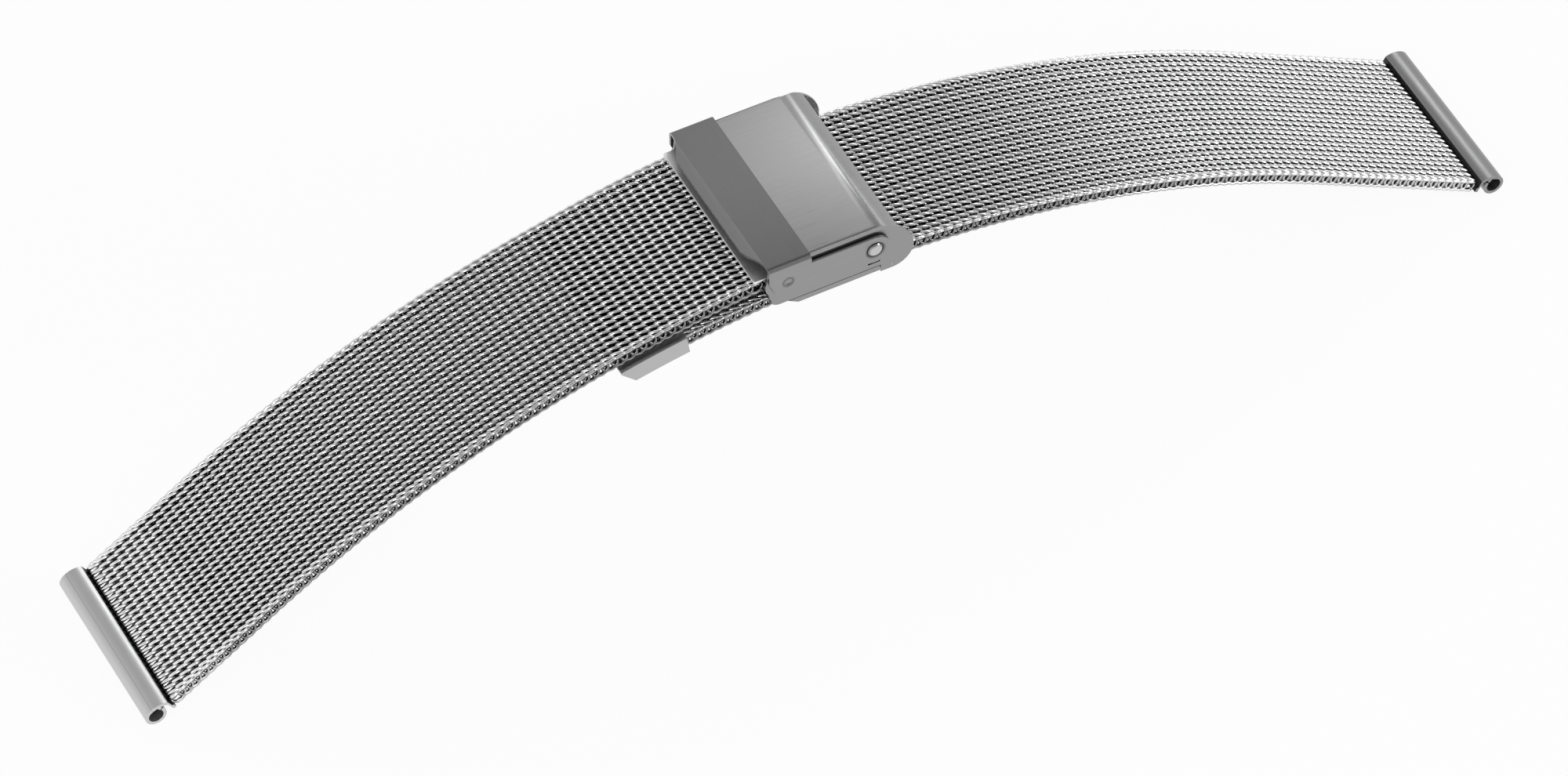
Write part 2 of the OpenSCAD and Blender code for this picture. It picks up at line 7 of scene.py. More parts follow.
import json
import math
import bmesh
import bpy
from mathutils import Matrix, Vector

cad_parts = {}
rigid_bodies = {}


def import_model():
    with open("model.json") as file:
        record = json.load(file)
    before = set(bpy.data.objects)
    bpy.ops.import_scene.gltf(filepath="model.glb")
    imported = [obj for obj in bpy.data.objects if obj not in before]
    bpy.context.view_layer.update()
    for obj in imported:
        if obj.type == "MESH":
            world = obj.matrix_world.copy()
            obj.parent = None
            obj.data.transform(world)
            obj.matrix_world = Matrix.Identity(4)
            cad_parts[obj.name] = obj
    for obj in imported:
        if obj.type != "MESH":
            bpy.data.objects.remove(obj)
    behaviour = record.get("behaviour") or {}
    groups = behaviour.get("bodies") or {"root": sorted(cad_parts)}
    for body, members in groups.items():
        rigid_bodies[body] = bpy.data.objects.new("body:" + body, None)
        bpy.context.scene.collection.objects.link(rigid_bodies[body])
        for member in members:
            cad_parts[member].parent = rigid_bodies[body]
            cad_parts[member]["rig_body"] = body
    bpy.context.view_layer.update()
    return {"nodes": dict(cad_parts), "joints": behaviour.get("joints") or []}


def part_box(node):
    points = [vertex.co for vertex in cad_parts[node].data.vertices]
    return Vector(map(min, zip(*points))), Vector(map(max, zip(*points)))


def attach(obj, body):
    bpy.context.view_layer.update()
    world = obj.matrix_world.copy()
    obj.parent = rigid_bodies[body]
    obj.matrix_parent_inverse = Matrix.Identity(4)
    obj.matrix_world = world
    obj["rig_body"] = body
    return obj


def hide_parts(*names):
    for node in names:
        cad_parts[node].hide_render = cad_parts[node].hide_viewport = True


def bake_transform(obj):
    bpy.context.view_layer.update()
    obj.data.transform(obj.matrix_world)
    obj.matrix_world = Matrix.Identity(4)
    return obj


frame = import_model()
MM = 0.001
joints = {joint["name"]: joint for joint in frame["joints"]}
print("nodes:", len(frame["nodes"]), "joints:", len(joints))

# %% [markdown]
# ## The camera
# The photograph looks down on the strap from its near left with a long lens. The camera is
# made first, so that every piece can be judged in the same view. A long lens far away
# keeps the two ends of the strap at nearly the same scale.

# %% Place the camera
TURN = math.radians(27.75)
DOWN = math.radians(48.58)
TARGET = Vector((-1.07, -0.01, 0.37)) * MM
DISTANCE = 1093.2 * MM
LENS = 247.17

camera = bpy.data.objects.new("camera", bpy.data.cameras.new("camera"))
bpy.context.scene.collection.objects.link(camera)
bpy.context.scene.camera = camera
level = math.cos(DOWN)
looking = Vector((math.sin(TURN) * level, math.cos(TURN) * level, -math.sin(DOWN)))
camera.location = TARGET - looking * DISTANCE
camera.rotation_mode = "QUATERNION"
camera.rotation_quaternion = looking.to_track_quat("-Z", "Y")
camera.data.lens = LENS
camera.data.sensor_width = 36.0
camera.data.clip_start = 0.05
camera.data.clip_end = 20.0
bpy.context.scene.view_settings.view_transform = "Standard"
print("camera at", [round(x, 3) for x in camera.location])

# %% [markdown]
# ## Maths on sockets
# Both the wire's shape and the metals' finishes are formulas. A formula is easier to read
# as a Python expression than as a list of nodes, so one small class wraps a socket, and
# each operator adds the Math node that does its work.


# %% A socket that takes part in formulas
class Field:
    """A value in a node tree. Operators on it add Math nodes to the tree."""

    def __init__(self, tree, socket):
        self.tree = tree
        self.socket = socket

    def math(self, operation, *others):
        """Adds one Math node, and gives its result."""
        node = self.tree.nodes.new("ShaderNodeMath")
        node.operation = operation
        for place, value in enumerate((self, *others)):
            put(self.tree, node.inputs[place], value)
        return Field(self.tree, node.outputs[0])

    def clamped(self, low, high):
        """The value, kept between two bounds."""
        return self.math("MAXIMUM", low).math("MINIMUM", high)

    def __add__(self, other):
        return self.math("ADD", other)

    def __sub__(self, other):
        return self.math("SUBTRACT", other)

    def __mul__(self, other):
        return self.math("MULTIPLY", other)

    def __truediv__(self, other):
        return self.math("DIVIDE", other)

    def __rsub__(self, other):
        return (self * -1.0) + other

    __radd__ = __add__
    __rmul__ = __mul__


def put(tree, socket, value):
    """Sets a socket to a number, or links a Field or another socket to it."""
    if isinstance(value, Field):
        tree.links.new(value.socket, socket)
    elif isinstance(value, bpy.types.NodeSocket):
        tree.links.new(value, socket)
    else:
        socket.default_value = value


def node_of(tree, kind, settings=None, **values):
    """Adds a node: its settings first, then its sockets by name, with _ for a space."""
    node = tree.nodes.new(kind)
    for name, value in (settings or {}).items():
        setattr(node, name, value)
    for name, value in values.items():
        put(tree, node.inputs[name.replace("_", " ")], value)
    return node


def axes_of(tree, vector):
    """The X, Y and Z of a vector socket, as Fields."""
    apart = node_of(tree, "ShaderNodeSeparateXYZ", Vector=vector)
    return [Field(tree, socket) for socket in apart.outputs]


print("formulas ready")

# %% [markdown]
# ## The woven wire
# Each coil of the real mesh is one flattened spiral of wire that runs right across the
# strap. The next coil is screwed into it, so the loops of neighbours lie side by side and
# close all but a small lens-shaped hole. Copying one stroke by hand would take thousands
# of copies, so Geometry Nodes make one spiral from a formula and set a copy at each step
# along the band.

# %% Sizes of the weave
# from coil to coil along a band: a whole number of coils reaches from the arch's top to a lug
LONG_STEP = 78.35 / 73 * MM
SHORT_STEP = 79.1 / 74 * MM

# from loop to loop across the strap, and how many of these the wire starts past the edge
TURN_STEP = 0.765 * MM
FIRST_TURN = 0.75

# a loop's half length and half height, and how full its corners are, where 1 is an ellipse
LOOP_HALF = 0.9 * MM
LOOP_RISE = 0.585 * MM
SQUARENESS = 0.74

# how much of the drift across happens in mid-stroke, and how far the edge's tips stand back
SWERVE = 1.5
EDGE_WAVE = 0.26 * MM

# the wire: its radius, its rings to a turn and its sides, and the mesh's rolled thickness
WIRE_R = 0.195 * MM
STEPS = 12
SIDES = 5
ROLLED = 1.48 * MM

# the painted shade lifts at the side edge, so it looks lit: from this far in, over this width, up
# to this nearness
EDGE_SHADE_LIFT_FROM = 0.7 * MM
EDGE_SHADE_LIFT_OVER = 0.4 * MM
EDGE_SHADE_LIFT_MOST = 0.78

# towards a lug the painted shade in the holes is lighter, so they look fuller: from this far
# before it, over this length, this much
FILLED = {1: (58.0 * MM, 48.0 * MM, 1.7), -1: (8.0 * MM, 1.5 * MM, 1.0)}

MESH_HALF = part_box("short_mesh_3")[1][1]
TURNS = int(2 * MESH_HALF / TURN_STEP) + 1
print("turns in a coil:", TURNS)

# %% [markdown]
# The spiral's centre line goes out over the top of a loop and back underneath. Its drift
# across the strap happens in the middle of each stroke, and its ends run straight beside
# the neighbour's. That is what lets equal coils interlock without cutting each other.


# %% One coil of wire
def squared_off(wave, size):
    """A sine or cosine with fuller shoulders, so the loop is nearly a rectangle."""
    return wave.math("SIGN") * wave.math("ABSOLUTE").math("POWER", SQUARENESS) * size


def one_coil(tree, index):
    """The wire of one coil, which runs across the strap along Y."""
    count = (TURNS + 1) * STEPS + 1
    line = node_of(tree, "GeometryNodeMeshLine", Count=count)
    share = index / STEPS
    angle = share * (2 * math.pi)
    along = squared_off(angle.math("COSINE"), -LOOP_HALF)
    height = squared_off(angle.math("SINE"), LOOP_RISE)
    drift = share - (angle * 2.0).math("SINE") * (SWERVE / (4 * math.pi))
    edge = MESH_HALF - WIRE_R
    bulge = along / LOOP_HALF
    limit = edge - bulge * bulge * EDGE_WAVE
    across = (drift * -TURN_STEP + (edge + TURN_STEP * FIRST_TURN)).math("MINIMUM", limit)
    across = across.math("MAXIMUM", limit * -1.0)
    place = node_of(tree, "ShaderNodeCombineXYZ", X=along, Y=across, Z=height)
    bent = node_of(tree, "GeometryNodeSetPosition", Geometry=line.outputs[0],
                   Position=place.outputs[0])
    path = node_of(tree, "GeometryNodeMeshToCurve", Mesh=bent.outputs[0])
    ring = node_of(tree, "GeometryNodeCurvePrimitiveCircle", {"mode": "RADIUS"},
                   Resolution=SIDES, Radius=WIRE_R)
    wire = node_of(tree, "GeometryNodeCurveToMesh", Curve=path.outputs[0], Fill_Caps=True)
    tree.links.new(ring.outputs[0], wire.inputs["Profile Curve"])
    return wire


print("points on a coil's centre line:", (TURNS + 1) * STEPS + 1)

# %% [markdown]
# Woven mesh is rolled and ground after weaving, which leaves small flats on the wire where it
# comes to the surface. Each point keeps a number that says how near it lies to the rolled faces,
# and the metal reads that number to paint the wire darker deeper in the weave: painted shade.


# %% Roll the coil flat
def marked(tree, geometry, name, value):
    """Stores a number on each point, under a name that the metal reads."""
    return node_of(tree, "GeometryNodeStoreNamedAttribute",
                   {"data_type": "FLOAT", "domain": "POINT"},
                   Geometry=geometry.outputs[0], Name=name, Value=value)


def rolled_flat(tree, wire, position):
    """Presses the wire between the rolled faces, and marks how near it lies to them, for the
    painted shade.
    """
    x, y, z = axes_of(tree, position)
    flat = ROLLED * 0.5
    pressed = node_of(tree, "ShaderNodeCombineXYZ", X=x, Y=y, Z=z.clamped(-flat, flat))
    wire = node_of(tree, "GeometryNodeSetPosition", Geometry=wire.outputs[0],
                   Position=pressed.outputs[0])
    # near the side edges the mark rises, so the painted shade lifts there
    side = (y.math("ABSOLUTE") - (MESH_HALF - EDGE_SHADE_LIFT_FROM)) / EDGE_SHADE_LIFT_OVER
    nearness = (z.math("ABSOLUTE") / flat).math("MAXIMUM", side.math("MINIMUM", EDGE_SHADE_LIFT_MOST))
    wire = marked(tree, wire, "nearness", nearness)
    return node_of(tree, "GeometryNodeSetShadeSmooth", Geometry=wire.outputs[0])


print("rolled to", round(ROLLED / MM, 2), "mm")

# %% [markdown]
# The band follows the arch of the solids: an arc round the joint that the clasp slides
# about, then a straight end. The radii come from the places of the flex joints. The short
# band lies on the long one, and it rises a little more where it enters the clasp.

# %% The line that the bands follow
# the slope of each straight end, where 1 is the long band's side and -1 the short one's
SLOPES = {1: math.radians(29.5), -1: math.radians(34.5)}

# in the clasp the short band lies this far above the long one, and it eases down to STACK
# between these two places along it
STACK_AT_CLASP = 2.75 * MM
STACK_START = 8.6 * MM
STACK_END = 24.9 * MM

CENTRE = Vector(joints["clasp_travel"]["pos_m"])
ARCH_R = (Vector(joints["long_flex_1"]["pos_m"]) - CENTRE).length
STACK = (Vector(joints["short_flex_1"]["pos_m"]) - CENTRE).length - ARCH_R

# where the mesh ends at each lug, along the band from the top of the arch
MESH_ENDS = {1: 79.1934 * MM, -1: 79.941 * MM}


def along_band(side, gone):
    """The place at a distance from the top of the arch, on the band's middle line."""
    slope = min(gone / ARCH_R, SLOPES[side])
    past = gone - slope * ARCH_R
    radius = ARCH_R + (0.0 if side > 0 else STACK)
    return CENTRE + Vector((side * (radius * math.sin(slope) + past * math.cos(slope)), 0.0,
                            radius * math.cos(slope) - past * math.sin(slope)))


print("arch radius", round(ARCH_R / MM, 2), "mm, bands", round(STACK / MM, 2), "mm apart")

# %% [markdown]
# The tree makes one coil and sets a copy of it at each step along that line, leaning as the line
# does. Its inputs are the sizes that differ between the two bands, so both are woven by the same
# tree. Towards a lug the real mesh is packed closer and its holes look fuller, so a second number
# on the points says by how much the painted shade in the holes is lighter there.


# %% The node tree of one stretch of woven wire
def weave_tree():
    """Builds the tree, with an input for each size that differs between the two bands."""
    tree = bpy.data.node_groups.new("woven wire", "GeometryNodeTree")
    face = tree.interface
    kinds = {"Int": ("First coil", "Coils"),
             "Float": ("Step", "Side", "Arch radius", "Rise at clasp", "Rise", "Steepest",
                       "Filled from", "Filled over", "Filled most"),
             "Material": ("Metal",)}
    for kind, names in kinds.items():
        for name in names:
            face.new_socket(name, in_out="INPUT", socket_type="NodeSocket" + kind)
    face.new_socket("Geometry", in_out="OUTPUT", socket_type="NodeSocketGeometry")
    given = {s.name: Field(tree, s) for s in tree.nodes.new("NodeGroupInput").outputs if s.name}
    arch, side = given["Arch radius"], given["Side"]
    index = Field(tree, node_of(tree, "GeometryNodeInputIndex").outputs[0])
    position = node_of(tree, "GeometryNodeInputPosition").outputs[0]
    wire = rolled_flat(tree, one_coil(tree, index), position)

    # the place and the lean of each coil
    gone = (index + given["First coil"]) * given["Step"]
    turned = (gone / arch).math("MINIMUM", given["Steepest"])
    straight = gone - turned * arch
    ease = ((gone - STACK_START) / (STACK_END - STACK_START)).clamped(0.0, 1.0)
    ease = ease * ease * (3.0 - 2.0 * ease)
    at_clasp = given["Rise at clasp"]
    radius = arch + at_clasp + (given["Rise"] - at_clasp) * ease
    sine, cosine = turned.math("SINE"), turned.math("COSINE")
    out = (radius * sine + straight * cosine) * side + CENTRE.x
    up = radius * cosine - straight * sine + CENTRE.z
    spot = node_of(tree, "ShaderNodeCombineXYZ", X=out, Y=0.0, Z=up)
    lean = node_of(tree, "ShaderNodeCombineXYZ", X=0.0, Y=turned * side, Z=0.0)

    # the copies, made real
    spots = node_of(tree, "GeometryNodeMeshLine", Count=given["Coils"])
    spots = node_of(tree, "GeometryNodeSetPosition", Geometry=spots.outputs[0],
                    Position=spot.outputs[0])
    copies = node_of(tree, "GeometryNodeInstanceOnPoints", Points=spots.outputs[0],
                     Instance=wire.outputs[0], Rotation=lean.outputs[0])
    real = node_of(tree, "GeometryNodeRealizeInstances", Geometry=copies.outputs[0])

    # how much the painted shade in the holes lightens towards a lug
    reach = (axes_of(tree, position)[0] - CENTRE.x).math("ABSOLUTE")
    filled = ((reach - given["Filled from"]) / given["Filled over"]).clamped(0.0, 1.0)
    real = marked(tree, real, "filled", filled * given["Filled most"])
    done = node_of(tree, "GeometryNodeSetMaterial", Geometry=real.outputs[0],
                   Material=given["Metal"])
    node_of(tree, "NodeGroupOutput", Geometry=done.outputs[0])
    return tree


weave = weave_tree()
print("inputs of the weave:", len(weave.interface.items_tree) - 1)

# %% [markdown]
# ## The metals' finishes
# Every piece is stainless steel, but each was finished in its own way: the wire is drawn bright,
# the roof is brushed along the strap, and the bail's strip across it. Brushing is very fine, very
# long noise, so a noise texture is stretched along the grain, and it shifts the colour, the
# roughness and the bump together. The wire's colour is painted darker with its depth in the
# weave, as painted shade, because the white studio would otherwise light every hole.


# %% A brushed metal
TINT = 0.995
CLOUD_SCALE = 260.0
GRAIN_DEPTH = 0.02 * MM
ROUGHER_BY_GRAIN = 0.35
ROUGHER_BY_CLOUD = 0.2
# the width and depth of the painted shade along a crease
CREASE_WIDTH = 0.07 * MM
CREASE_DARK = 0.3

# the wire's painted shade lifts, and its tone rises, from this nearness to the rolled faces, over
# this much of it
LIT_FROM = 0.59
LIT_OVER = 0.37

# full holes count as this much nearer, and their depth keeps this much more of the tone, so their
# painted shade is lighter
FILLED_NEARER = 0.05
FILLED_LIGHTER = 0.12


def steel(name, tone, rough, grain=(1.0, 1.0, 1.0), scale=1800.0, contrast=0.1, relief=0.1,
          patch=0.06, dark=None, crease=None, rings=()):
    """Steel of one grey tone. Grain is how much the noise is squeezed along each axis.

    Contrast and patch are how much the fine grain and the broad clouds change the tone.
    Dark is the share of the tone left deep inside the weave: painted shade, where no light gets
    in.
    Crease is a point and a direction in the XZ plane: a faint line of painted shade crosses the
    metal there.
    Rings are circles of painted shade round an axis along Y: x, z, radius, width and how dark.
    """
    metal = bpy.data.materials.new(name)
    metal.use_nodes = True
    tree = metal.node_tree
    tree.nodes.clear()

    def stored(attribute):
        """A number that the weave left on the wire's points."""
        source = node_of(tree, "ShaderNodeAttribute", {"attribute_name": attribute})
        return Field(tree, source.outputs["Fac"])

    def shaded(off, width, share):
        """How much tone is left at a distance off the middle of a line of painted shade."""
        return 1.0 - (1.0 - off.math("ABSOLUTE") / width).math("MAXIMUM", 0.0) * share

    where = node_of(tree, "ShaderNodeTexCoord").outputs["Object"]
    squeezed = node_of(tree, "ShaderNodeMapping", Vector=where, Scale=grain).outputs[0]
    lines = node_of(tree, "ShaderNodeTexNoise", Vector=squeezed, Scale=scale, Detail=3.0,
                    Roughness=0.6)
    cloud = node_of(tree, "ShaderNodeTexNoise", Vector=where, Scale=CLOUD_SCALE, Detail=2.0,
                    Roughness=0.5)
    grey = Field(tree, lines.outputs["Fac"]) - 0.5
    soft = Field(tree, cloud.outputs["Fac"]) - 0.5
    level = (grey * contrast + soft * patch + 1.0) * tone
    # painted shade: the wire's tone falls with its depth in the weave
    if dark is not None:
        filled = stored("filled")
        nearness = stored("nearness") + filled * FILLED_NEARER
        rise = ((nearness - LIT_FROM) / LIT_OVER).clamped(0.0, 1.0)
        deep = filled * FILLED_LIGHTER + dark
        level = level * (rise * rise * (1.0 - deep) + deep)
    here_x, _, here_z = axes_of(tree, where)
    # rings of painted shade round an axis along Y
    for x, z, radius, width, share in rings:
        dx, dz = here_x - x, here_z - z
        off = (dx * dx + dz * dz).math("SQRT") - radius
        level = level * shaded(off, width, share)
    # a line of painted shade along a crease
    if crease is not None:
        (x, z), (dx, dz) = crease
        off = here_x * dx + here_z * dz - (x * dx + z * dz)
        level = level * shaded(off, CREASE_WIDTH, CREASE_DARK)
    warm = level * TINT
    colour = node_of(tree, "ShaderNodeCombineColor", Red=warm, Green=warm, Blue=level)
    worn = (grey * ROUGHER_BY_GRAIN + soft * ROUGHER_BY_CLOUD + 1.0) * rough
    bump = node_of(tree, "ShaderNodeBump", Strength=relief, Distance=GRAIN_DEPTH,
                   Height=lines.outputs["Fac"])
    shader = node_of(tree, "ShaderNodeBsdfPrincipled", Base_Color=colour.outputs[0], Metallic=1.0,
                     Roughness=worn, Normal=bump.outputs[0])
    node_of(tree, "ShaderNodeOutputMaterial", Surface=shader.outputs[0])
    return metal


print("brushed metal ready")

# %% [markdown]
# Clean steel is paler than most of these tones. But the sheets here mirror a white room,
# and a lower tone is what keeps them as grey as the real ones look in the photograph. A
# grain that is squeezed on one axis makes lines along that axis.

# %% The metals of the strap
ALONG_SOFTLY = (0.1, 1.0, 1.0)
ACROSS = (1.0, 0.03, 1.0)
wire_steel = steel("bright wire", 0.95, 0.17, scale=2500.0, contrast=0.06, relief=0.05,
                   dark=0.03)
roof_steel = steel("roof brushed along the strap", 0.33, 0.3, grain=(0.03, 1.0, 0.2),
                   scale=3600.0, contrast=0.16, relief=0.03, patch=0.03)
side_steel = steel("satin sheet", 0.31, 0.36, grain=ALONG_SOFTLY, scale=5000.0)
strip_steel = steel("bail brushed across", 0.18, 0.38, grain=ACROSS, scale=9000.0,
                    contrast=0.22)
# painted shade for the lug's groove and the window's walls, where no light reaches
painted_shade_steel = steel("dark groove", 0.05, 0.5, scale=3000.0)
# painted light: the lip's upper faces are paler than the strip because they tilt towards the
# light
lip_steel_painted_paler = steel("lip brushed across, painted paler", 0.32, 0.4, grain=ACROSS, scale=9000.0, contrast=0.22)
# painted reflection: the hook plate lies under the lip, so its pale tone stands in for the white
# it would mirror
hook_steel_painted_bright = steel("hook painted bright", 0.9, 0.45, scale=2000.0, contrast=0.05)
clip_steel = steel("clip satin", 0.48, 0.3, grain=(0.05, 1.0, 1.0), scale=6000.0,
                   contrast=0.12)
inner_steel = steel("inner plate", 0.4, 0.4, scale=3000.0)

# painted shade: dark rings at the foot of the rivet's head and in the arm's dimple
RIVET = Vector(joints["bail_hinge"]["pos_m"])
DIMPLE = RIVET + Vector((-9.75, 0.0, 0.3)) * MM
rivet_foot_shade = (RIVET.x, RIVET.z, 0.88 * MM, 0.3 * MM, 0.85)
dimple_shade = (DIMPLE.x, DIMPLE.z, 0.55 * MM, 0.2 * MM, 0.5)
rivet_steel = steel("rivet polished", 0.55, 0.14, scale=2000.0, contrast=0.05, rings=[rivet_foot_shade])
arm_steel = steel("arm satin", 0.31, 0.36, grain=ALONG_SOFTLY, scale=5000.0,
                  rings=[rivet_foot_shade, dimple_shade])
print("metals:", len(bpy.data.materials))

# %% [markdown]
# ## Weaving the two bands
# A band bends at its flex joints. Each woven piece reaches from the middle of one rigid stretch
# to the middle of the next, so one joint lies within it, and its two ends meet their neighbours
# where neither moves.


# %% Weave one piece
def woven_piece(name, side, start, end):
    """The coils whose middles lie from start to end, in millimetres from the top of the arch."""
    step = LONG_STEP if side > 0 else SHORT_STEP
    before, over, most = FILLED[side]
    filled_from = along_band(side, MESH_ENDS[side] - before).x - CENTRE.x
    first = math.ceil(start * MM / step)
    last = math.ceil(end * MM / step)
    host = bpy.data.objects.new(name, bpy.data.meshes.new(name))
    bpy.context.scene.collection.objects.link(host)
    nodes = host.modifiers.new("weave", "NODES")
    nodes.node_group = weave
    values = {"First coil": first, "Coils": last - first, "Step": step, "Side": float(side),
              "Arch radius": ARCH_R, "Rise at clasp": 0.0 if side > 0 else STACK_AT_CLASP,
              "Rise": 0.0 if side > 0 else STACK, "Steepest": SLOPES[side],
              "Filled from": abs(filled_from), "Filled over": over, "Filled most": most,
              "Metal": wire_steel}
    for item in weave.interface.items_tree:
        if item.in_out == "INPUT":
            nodes[item.identifier] = values[item.name]
    ready = host.evaluated_get(bpy.context.evaluated_depsgraph_get())
    mesh = bpy.data.meshes.new_from_object(ready)
    host.modifiers.remove(nodes)
    host.data = mesh
    mesh.name = name
    print(name, "coils", last - first, "faces", len(mesh.polygons))
    return host


# %% [markdown]
# The places of the bends and of the bands' ends are millimetres from the top of the arch.
# The tail and the short band's root don't bend, so each rides on one body. Every other piece
# keeps its woven place, with its transform baked in. Wire mesh never folds along a sharp line.

# %% Weave both bands
LONG_BENDS = (26.0, 37.0, 48.0, 59.0, 69.0)
SHORT_BENDS = (30.0, 42.0, 54.0, 66.0)
TAIL_START, LONG_START, LONG_END = -22.6, 15.0, 78.4
ROOT_START, SHORT_START, SHORT_END = 9.4, 22.0, 79.15


def between(start, bends, end):
    """The places where woven pieces meet: halfway between two bends, and both ends."""
    return [start] + [(a + b) / 2 for a, b in zip(bends, bends[1:])] + [end]


tail = woven_piece("tail_weave", 1, TAIL_START, LONG_START)
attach(tail, "long_core")
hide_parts("long_core")
marks = between(LONG_START, LONG_BENDS, LONG_END)
for i, cut in enumerate(LONG_BENDS):
    piece = woven_piece("long_weave_%d" % (i + 1), 1, marks[i], marks[i + 1])
    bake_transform(piece)
    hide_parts("long_mesh_%d" % (i + 1))

root = woven_piece("short_weave_0", -1, ROOT_START, SHORT_START)
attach(root, "short_1")
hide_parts("short_mesh_1")
marks = between(SHORT_START, SHORT_BENDS, SHORT_END)
for i, cut in enumerate(SHORT_BENDS):
    piece = woven_piece("short_weave_%d" % (i + 1), -1, marks[i], marks[i + 1])
    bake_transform(piece)
    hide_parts("short_mesh_%d" % (i + 2))

# %% [markdown]
# ## The sheet metal
# A stamped sheet never has a knife edge: its edges are tumbled, and each one catches a
# thin line of light. The solids have sharp edges, so each sheet is a copy of its solid
# with its doubles merged, its flat faces joined, and a small bevel on its edges.


# %% Soften a solid's edges
SHARP = math.radians(32.0)
SAME_PLACE = 0.002 * MM
SAME_PLANE = math.radians(0.5)


def softened(node, metal, width=0.05, others=()):
    """A copy of a CAD node whose sharp edges are rounded, with a bevel's width in mm.

    Others are pairs of a metal and a function that picks the faces it is for.
    """
    body = frame["nodes"][node]["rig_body"]
    piece = bpy.data.objects.new(node + "_dressed", frame["nodes"][node].data.copy())
    bpy.context.scene.collection.objects.link(piece)
    shape = bmesh.new()
    shape.from_mesh(piece.data)
    bmesh.ops.remove_doubles(shape, verts=shape.verts, dist=SAME_PLACE)
    bmesh.ops.dissolve_limit(shape, angle_limit=SAME_PLANE, verts=shape.verts,
                             edges=shape.edges)
    shape.to_mesh(piece.data)
    shape.free()
    piece.data.materials.clear()
    piece.data.materials.append(metal)
    for other, picked in others:
        piece.data.materials.append(other)
        for face in piece.data.polygons:
            if picked(face):
                face.material_index = len(piece.data.materials) - 1
    piece.data.shade_smooth()
    piece.data.set_sharp_from_angle(angle=SHARP)
    soft = piece.modifiers.new("soft edges", "BEVEL")
    soft.width = width * MM
    soft.segments = 2
    soft.limit_method = "ANGLE"
    soft.angle_limit = SHARP
    soft.harden_normals = True
    soft.use_clamp_overlap = True
    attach(piece, body)
    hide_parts(node)
    print(piece.name, "faces before the bevel", len(piece.data.polygons))


# %% [markdown]
# The housing and the bail were each brushed on top after they were bent, so their upper faces
# have a metal of their own. The bail's lip tilts towards the light, so its upper faces are
# painted paler, as painted light.
# The small places are measured from the axis of the bail's rivets.

# %% Dress the sheet metal
# a face belongs to the top if it points upwards and lies at most this far below the crown
TOP_BAND = 3.2 * MM
UPWARD = 0.3

# the lip, which is painted paler, and the corners of the window's walls, which get painted shade,
# none of which face sideways
SIDEWAYS = 0.5
LIP_AT = RIVET.x - 11.95 * MM
WINDOW_LOW = RIVET + Vector((-0.56, 0.0, -2.53)) * MM
WINDOW_HIGH = RIVET + Vector((0.81, 0.0, -1.99)) * MM


def looks_up(node):
    """Picks the faces of a sheet's upper side."""
    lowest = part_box(node)[1][2] - TOP_BAND
    return lambda face: face.normal.z > UPWARD and face.center.z > lowest


def in_window(face):
    """Picks the walls of the narrow window, which no light reaches, for painted shade."""
    spot = face.center
    return (WINDOW_LOW.x < spot.x < WINDOW_HIGH.x and WINDOW_LOW.z < spot.z < WINDOW_HIGH.z
            and abs(face.normal.y) < SIDEWAYS)


def on_lip(face):
    """Picks the upper faces of the bail's thumb lip, which are painted paler."""
    return face.normal.z > UPWARD and face.center.x < LIP_AT


softened("clasp_housing", side_steel,
         others=[(roof_steel, looks_up("clasp_housing")), (painted_shade_steel, in_window)])
softened("bail", arm_steel,
         others=[(strip_steel, looks_up("bail")), (lip_steel_painted_paler, on_lip)])
softened("hook_plate", hook_steel_painted_bright)
softened("lock_flap", side_steel, width=0.04)
softened("tail_clip", clip_steel)
softened("pressure_plate", inner_steel, width=0.04)
softened("bail_rivet_near", rivet_steel, width=0.02)
softened("bail_rivet_far", rivet_steel, width=0.02)
for node in ("crossbar", "flap_pin"):
    solid = frame["nodes"][node]
    solid.data.materials.clear()
    solid.data.materials.append(inner_steel)
print("sheets dressed")

# %% [markdown]
# A lug is one sheet that stands against the end of the mesh, rises in a dome and rolls under into
# a tube. Two marks of that work show, both as painted shade: a faint dark line along the crease
# where the roll starts, and a dark groove beside the mesh that no light reaches. Both lie at
# fixed distances from the mesh's end, so they are found along the band's own direction there. The
# long band's lug mirrors a dark
# part of the room in the photograph, so its tone is lower.

# %% Dress the lugs
# how far past the mesh's end the crease's painted shade lies, and how far from that end the
# groove's painted shade reaches
CREASE = 1.75 * MM
GROOVE = 0.2 * MM


def lug(node, side, tone):
    """Dresses the lug at the end of the band on one side."""
    end = along_band(side, MESH_ENDS[side])
    out = Vector((side * math.cos(SLOPES[side]), 0.0, -math.sin(SLOPES[side])))
    line = end + out * CREASE
    metal = steel(node + " satin", tone, 0.4, grain=(1.0, 0.05, 1.0), scale=6000.0,
                  relief=0.02, crease=((line.x, line.z), (out.x, out.z)))

    def in_groove(face):
        """Picks the faces right beside the mesh's end, which are painted in shade."""
        return abs((face.center - end).dot(out)) < GROOVE

    softened(node, metal, width=0.03, others=[(painted_shade_steel, in_groove)])


lug("lug_tube_long", 1, 0.3)
lug("lug_tube_short", -1, 0.6)

# %% [markdown]
# ## The studio
# The product stands on a white sweep. The floor and the world are white only to the
# camera and to reflections. Four soft lamps and a dimmer sky light the object. What the
# metal mirrors gets greyer higher up and on the camera's side, as a room does round a
# light tent, so that the steel doesn't turn as white as the floor.


# %% Floor and sky
# the share of the floor's white that takes no shadow, and the strength of the sky's light
FLOOR_GLOW = 0.93
SKY_LIGHT = 0.7

# how much greyer the mirrored sky is overhead, and how much more on the camera's side
GREYER_ABOVE = 0.48
GREYER_BEHIND = 0.5


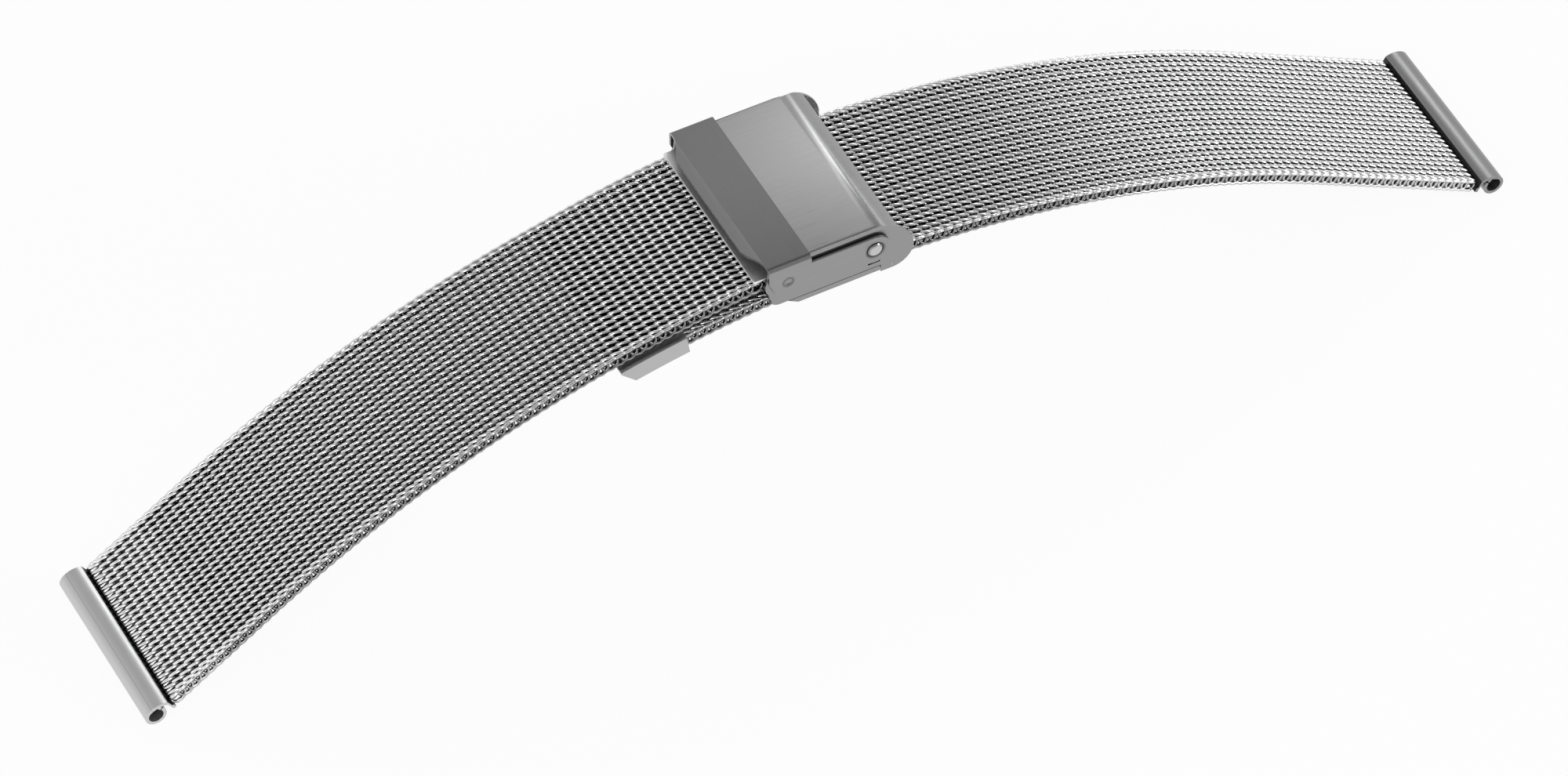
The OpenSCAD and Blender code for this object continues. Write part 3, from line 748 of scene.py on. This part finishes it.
def white_to_the_eye(tree):
    """1 for camera, glossy and transmission rays, and 0 for the rays that carry light."""
    path = node_of(tree, "ShaderNodeLightPath")
    seen = Field(tree, path.outputs["Is Camera Ray"]) + path.outputs["Is Glossy Ray"]
    return (seen + path.outputs["Is Transmission Ray"]).math("MINIMUM", 1.0)


def floor_paint():
    """Matt white that keeps a trace of the object's shadow."""
    paint = bpy.data.materials.new("white sweep")
    paint.use_nodes = True
    tree = paint.node_tree
    tree.nodes.clear()
    matt = node_of(tree, "ShaderNodeBsdfDiffuse", Color=(0.8, 0.8, 0.8, 1.0))
    glow = node_of(tree, "ShaderNodeEmission", Color=(1.0, 1.0, 1.0, 1.0), Strength=1.0)
    mix = node_of(tree, "ShaderNodeMixShader", Fac=white_to_the_eye(tree) * FLOOR_GLOW)
    tree.links.new(matt.outputs[0], mix.inputs[1])
    tree.links.new(glow.outputs[0], mix.inputs[2])
    node_of(tree, "ShaderNodeOutputMaterial", Surface=mix.outputs[0])
    return paint


bpy.ops.mesh.primitive_plane_add(size=6.0, location=(0, 0, 0))
floor = bpy.context.object
floor.name = "floor"
floor.data.materials.append(floor_paint())

world = bpy.data.worlds.new("studio")
bpy.context.scene.world = world
world.use_nodes = True
studio = world.node_tree
studio.nodes.clear()
heading = axes_of(studio, node_of(studio, "ShaderNodeTexCoord").outputs["Generated"])
high = heading[2].math("MAXIMUM", 0.0)
behind = 0.5 - heading[1] * 0.5
bright = 1.0 - high * (behind * GREYER_BEHIND + GREYER_ABOVE)
shade = node_of(studio, "ShaderNodeCombineColor", Red=bright, Green=bright, Blue=bright)
sky = node_of(studio, "ShaderNodeBackground", Color=shade.outputs[0], Strength=1.0)
light = node_of(studio, "ShaderNodeBackground",
                Color=(SKY_LIGHT, SKY_LIGHT, SKY_LIGHT, 1.0), Strength=1.0)
both = node_of(studio, "ShaderNodeMixShader", Fac=white_to_the_eye(studio))
studio.links.new(light.outputs[0], both.inputs[1])
studio.links.new(sky.outputs[0], both.inputs[2])
node_of(studio, "ShaderNodeOutputWorld", Surface=both.outputs[0])
print("floor and sky ready")

# %% [markdown]
# Steel shows what it mirrors, so a lamp's place and size matter more than its power. The
# key stands behind the strap, where the roof mirrors it near its right end. The right lamp
# brightens the long band, and the front and fill lamps lift the sides that face the camera.

# %% Lamps
LAMPS_AIM = Vector((0.0, 0.0, 0.02))


def lamp(name, place, size, power):
    """A soft box at a place, turned towards the strap."""
    light = bpy.data.lights.new(name, "AREA")
    light.shape = "RECTANGLE"
    light.size, light.size_y = size
    light.energy = power
    thing = bpy.data.objects.new(name, light)
    bpy.context.scene.collection.objects.link(thing)
    thing.location = place
    thing.rotation_mode = "QUATERNION"
    thing.rotation_quaternion = (LAMPS_AIM - Vector(place)).to_track_quat("-Z", "Y")


lamp("key", (0.48, 0.55, 0.6), (0.24, 0.24), 0.8)
lamp("right", (0.8, -0.55, 0.3), (0.3, 0.3), 2.8)
lamp("front", (0.3, -0.58, 0.7), (0.15, 0.15), 0.3)
lamp("fill", (-0.6, -0.5, 0.6), (0.28, 0.28), 1.5)
print("studio ready")
